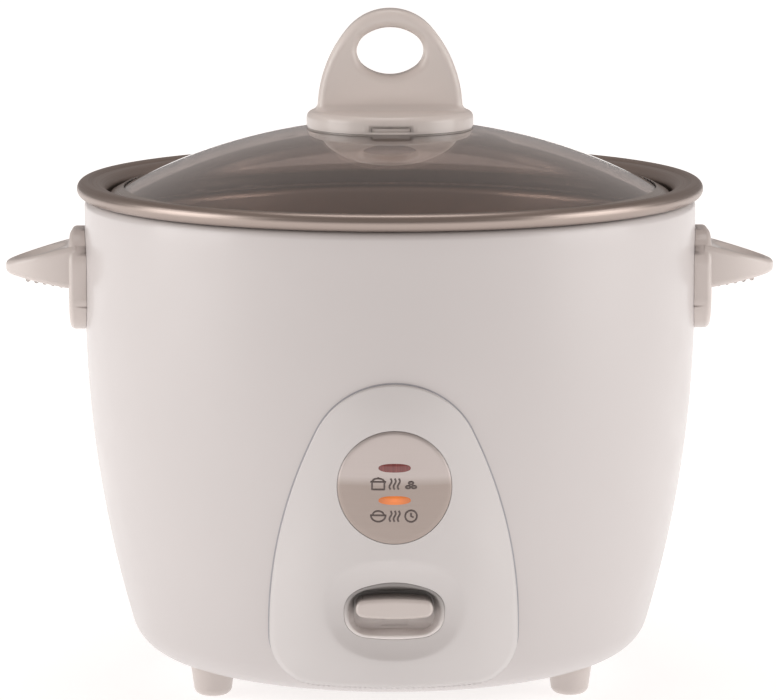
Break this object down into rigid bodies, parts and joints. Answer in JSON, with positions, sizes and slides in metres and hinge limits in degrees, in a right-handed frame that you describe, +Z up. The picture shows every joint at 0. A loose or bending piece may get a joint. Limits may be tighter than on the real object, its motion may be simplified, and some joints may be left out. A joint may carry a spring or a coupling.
{
  "type": "rice cooker",
  "caption": "Electric rice cooker: tapered white steel body with side handles and feet, lift-out metal pan, domed glass lid with a loop knob, front panel with lamps and a cook lever.",
  "frame": {"origin": "on the surface the feet stand on, under the middle of the body", "axes": "+Z up, -Y to the control panel, +X to the right handle seen from the front"},
  "size_m": [0.28, 0.2276, 0.2448],
  "materials": {
    "white_paint": "glossy white paint",
    "white_plastic": "glossy white moulding",
    "grey_plastic": "fine matt grey",
    "black_plastic": "matt black",
    "pressed_aluminium": "drawn, satin",
    "cast_aluminium": "cast and turned",
    "plain_steel": "zinc plated",
    "silver_plate": "satin silver",
    "red_lens": "clear red",
    "amber_lens": "clear amber, lit",
    "lamp_glass": "clear",
    "circuit_board": "matt green",
    "lid_glass": "clear tempered",
    "silicone": "matt, translucent",
    "brass": "plain",
    "ferrite": "matt dark grey",
    "wire_cover": "woven glass sleeve"
  },
  "bodies": {
    "cooker": {"base_plate": "plain_steel", "cook_lamp": "lamp_glass", "cook_lens": "red_lens", "foot_front_left": "white_plastic", "foot_front_right": "white_plastic", "foot_rear": "white_plastic", "foot_screws": "plain_steel", "front_panel": "white_plastic", "fuse_clip": "plain_steel", "handle_left": "white_plastic", "handle_right": "white_plastic", "handle_screws": "plain_steel", "heater_post_1": "plain_steel", "heater_post_2": "plain_steel", "heater_post_3": "plain_steel", "heater_post_4": "plain_steel", "heating_element": "plain_steel", "heating_plate": "cast_aluminium", "indicator_plate": "silver_plate", "inlet_pins": "brass", "inlet_screws": "plain_steel", "keep_warm_thermostat": "black_plastic", "lamp_board": "circuit_board", "lamp_holder": "grey_plastic", "lead_heater": "wire_cover", "lead_live": "wire_cover", "lead_neutral": "wire_cover", "lever_bracket": "plain_steel", "lever_pin": "plain_steel", "microswitch": "black_plastic", "microswitch_pins": "plain_steel", "microswitch_tabs": "brass", "outer_body": "white_paint", "pan_well": "pressed_aluminium", "panel_screws": "plain_steel", "post_screws": "plain_steel", "power_inlet": "black_plastic", "return_spring": "plain_steel", "sensor_spring": "plain_steel", "switch_bezel": "grey_plastic", "thermal_fuse": "plain_steel", "thermostat_bracket": "plain_steel", "thermostat_sleeve": "plain_steel", "warm_lamp": "lamp_glass", "warm_lens": "amber_lens"},
    "pan": {"inner_pan": "pressed_aluminium"},
    "lid": {"knob_screw": "plain_steel", "knob_seal": "silicone", "knob_washer": "plain_steel", "lid_band": "plain_steel", "lid_glass": "lid_glass", "lid_knob": "white_plastic"},
    "lever": {"cook_lever": "grey_plastic", "lever_cap": "white_plastic"},
    "magnet_slider": {"magnet": "ferrite", "magnet_rod": "plain_steel"},
    "switch_plunger": {"microswitch_plunger": "grey_plastic"},
    "sensor": {"sensor_cap": "pressed_aluminium", "ferrite_core": "ferrite"}
  },
  "joints": [
    {"name": "pan_lift", "type": "slide", "parent": "cooker", "child": "pan", "axis": [0, 0, 1], "range_m": [0, 0.13]},
    {"name": "lid_lift", "type": "slide", "parent": "pan", "child": "lid", "axis": [0, 0, 1], "range_m": [0, 0.1]},
    {"name": "lever_press", "type": "hinge", "parent": "cooker", "child": "lever", "pos_m": [0, -0.045, 0.04], "axis": [1, 0, 0], "range_deg": [0, 4.5], "stiffness_Nm_per_rad": 0.5, "springref_deg": -11.46},
    {"name": "magnet_lift", "type": "slide", "parent": "cooker", "child": "magnet_slider", "axis": [0, 0, 1], "range_m": [0, 0.0036], "deforming": ["return_spring"]},
    {"name": "plunger_press", "type": "slide", "parent": "cooker", "child": "switch_plunger", "axis": [0, 0, -1], "range_m": [0, 0.002]},
    {"name": "sensor_rise", "type": "slide", "parent": "cooker", "child": "sensor", "axis": [0, 0, 1], "range_m": [0, 0.003], "deforming": ["sensor_spring"]}
  ],
  "couplings": [
    {"joint": "magnet_lift", "follows": "lever_press", "m_per_rad": 0.045},
    {"joint": "plunger_press", "follows": "lever_press", "m_per_rad": 0.025},
    {"joint": "sensor_rise", "follows": "pan_lift", "ratio": 0.023}
  ]
}
